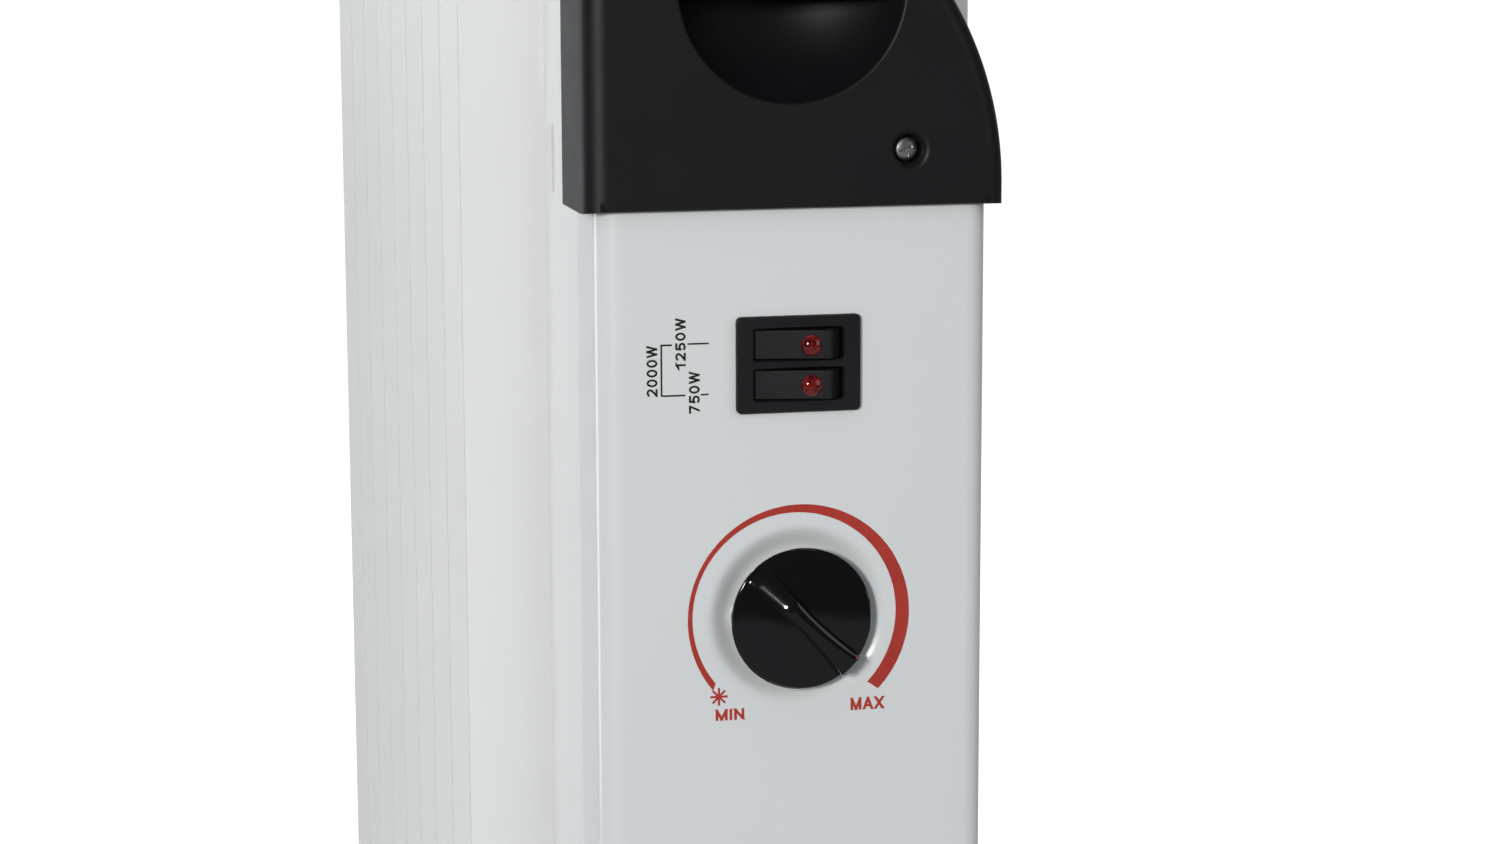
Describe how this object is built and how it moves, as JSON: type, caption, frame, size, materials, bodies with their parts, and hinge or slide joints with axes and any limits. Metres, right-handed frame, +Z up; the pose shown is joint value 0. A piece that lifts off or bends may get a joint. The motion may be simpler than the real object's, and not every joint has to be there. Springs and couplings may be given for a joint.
{
  "type": "oil filled radiator heater",
  "caption": "Oil filled radiator heater: hollow steel fins on swivel casters, an end control box with thermostat knob and twin rocker switch, and a scoop-grip cap.",
  "frame": {"origin": "on the floor under the middle of the heater's bounding box", "axes": "+X to the right of someone facing the control panel, +Y from the panel towards the fins, +Z up"},
  "size_m": [0.25, 0.4142, 0.6422],
  "materials": {
    "fin_enamel": "gloss baked enamel",
    "panel_white": "gloss",
    "cap_black": "satin, fine grain",
    "knob_black": "gloss",
    "switch_black": "satin, textured rockers",
    "lens_red": "gloss, translucent",
    "zinc_steel": "zinc plated",
    "element_steel": "drawn",
    "switch_brass": "stamped",
    "lamp_glass": "clear",
    "phenolic": "matte",
    "bob_brass": "turned",
    "block_nylon": "matte",
    "cutout_aluminium": "satin",
    "wire_cover": "matte silicone",
    "gland_black": "matte",
    "caster_black": "satin",
    "wheel_black": "satin"
  },
  "bodies": {
    "heater": {"fin_01": "fin_enamel", "fin_02": "fin_enamel", "fin_03": "fin_enamel", "fin_04": "fin_enamel", "fin_05": "fin_enamel", "fin_06": "fin_enamel", "fin_07": "fin_enamel", "fin_08": "fin_enamel", "fin_09": "fin_enamel", "lower_header_collars": "fin_enamel", "upper_header_collars": "fin_enamel", "header_plugs": "fin_enamel", "rear_housing": "fin_enamel", "housing_bracket_lower": "fin_enamel", "housing_bracket_upper": "fin_enamel", "foot_plate_front": "fin_enamel", "foot_plate_rear": "fin_enamel", "front_panel": "panel_white", "bottom_cover": "panel_white", "top_cap": "cap_black", "switch_frame": "switch_black", "cap_screw": "zinc_steel", "housing_screws": "zinc_steel", "thermostat_screws": "zinc_steel", "cutout_clip": "zinc_steel", "foot_bolts": "zinc_steel", "wing_nuts": "zinc_steel", "caster_stems": "zinc_steel", "heating_element_750": "element_steel", "heating_element_1250": "element_steel", "element_flange": "element_steel", "element_terminals": "element_steel", "switch_terminals": "switch_brass", "neon_lamps": "lamp_glass", "thermostat_body": "phenolic", "tilt_switch_case": "phenolic", "terminal_block": "block_nylon", "thermal_cutout": "cutout_aluminium", "wire_set": "wire_cover", "cord_gland": "gland_black"},
    "knob": {"knob": "knob_black", "thermostat_shaft": "element_steel"},
    "rocker_top": {"rocker_upper": "switch_black", "lens_upper": "lens_red"},
    "rocker_bottom": {"rocker_lower": "switch_black", "lens_lower": "lens_red"},
    "tilt_bob": {"tilt_pendulum": "bob_brass"},
    "caster_front_left": {"caster_fork_front_left": "caster_black"},
    "wheels_front_left": {"caster_wheels_front_left": "wheel_black", "caster_axle_front_left": "zinc_steel"},
    "caster_front_right": {"caster_fork_front_right": "caster_black"},
    "wheels_front_right": {"caster_wheels_front_right": "wheel_black", "caster_axle_front_right": "zinc_steel"},
    "caster_rear_left": {"caster_fork_rear_left": "caster_black"},
    "wheels_rear_left": {"caster_wheels_rear_left": "wheel_black", "caster_axle_rear_left": "zinc_steel"},
    "caster_rear_right": {"caster_fork_rear_right": "caster_black"},
    "wheels_rear_right": {"caster_wheels_rear_right": "wheel_black", "caster_axle_rear_right": "zinc_steel"}
  },
  "joints": [
    {"name": "knob_turn", "type": "hinge", "parent": "heater", "child": "knob", "pos_m": [0.00075, -0.197, 0.447], "axis": [0, -1, 0], "range_deg": [0, 270]},
    {"name": "rocker_upper_tilt", "type": "hinge", "parent": "heater", "child": "rocker_top", "pos_m": [0.0005, -0.196, 0.5158], "axis": [0, 0, 1], "range_deg": [0, 19]},
    {"name": "rocker_lower_tilt", "type": "hinge", "parent": "heater", "child": "rocker_bottom", "pos_m": [0.0005, -0.196, 0.5058], "axis": [0, 0, 1], "range_deg": [0, 19]},
    {"name": "tilt_swing", "type": "hinge", "parent": "heater", "child": "tilt_bob", "pos_m": [0, -0.157, 0.193], "axis": [0, 1, 0], "range_deg": [-25, 25]},
    {"name": "caster_front_left_swivel", "type": "hinge", "parent": "heater", "child": "caster_front_left", "pos_m": [-0.108, -0.0885, 0.05], "axis": [0, 0, 1], "continuous": true},
    {"name": "caster_front_left_roll", "type": "hinge", "parent": "caster_front_left", "child": "wheels_front_left", "pos_m": [-0.108, -0.0765, 0.022], "axis": [1, 0, 0], "continuous": true},
    {"name": "caster_front_right_swivel", "type": "hinge", "parent": "heater", "child": "caster_front_right", "pos_m": [0.108, -0.0885, 0.05], "axis": [0, 0, 1], "continuous": true},
    {"name": "caster_front_right_roll", "type": "hinge", "parent": "caster_front_right", "child": "wheels_front_right", "pos_m": [0.108, -0.0765, 0.022], "axis": [1, 0, 0], "continuous": true},
    {"name": "caster_rear_left_swivel", "type": "hinge", "parent": "heater", "child": "caster_rear_left", "pos_m": [-0.108, 0.1705, 0.05], "axis": [0, 0, 1], "continuous": true},
    {"name": "caster_rear_left_roll", "type": "hinge", "parent": "caster_rear_left", "child": "wheels_rear_left", "pos_m": [-0.108, 0.1825, 0.022], "axis": [1, 0, 0], "continuous": true},
    {"name": "caster_rear_right_swivel", "type": "hinge", "parent": "heater", "child": "caster_rear_right", "pos_m": [0.108, 0.1705, 0.05], "axis": [0, 0, 1], "continuous": true},
    {"name": "caster_rear_right_roll", "type": "hinge", "parent": "caster_rear_right", "child": "wheels_rear_right", "pos_m": [0.108, 0.1825, 0.022], "axis": [1, 0, 0], "continuous": true}
  ]
}
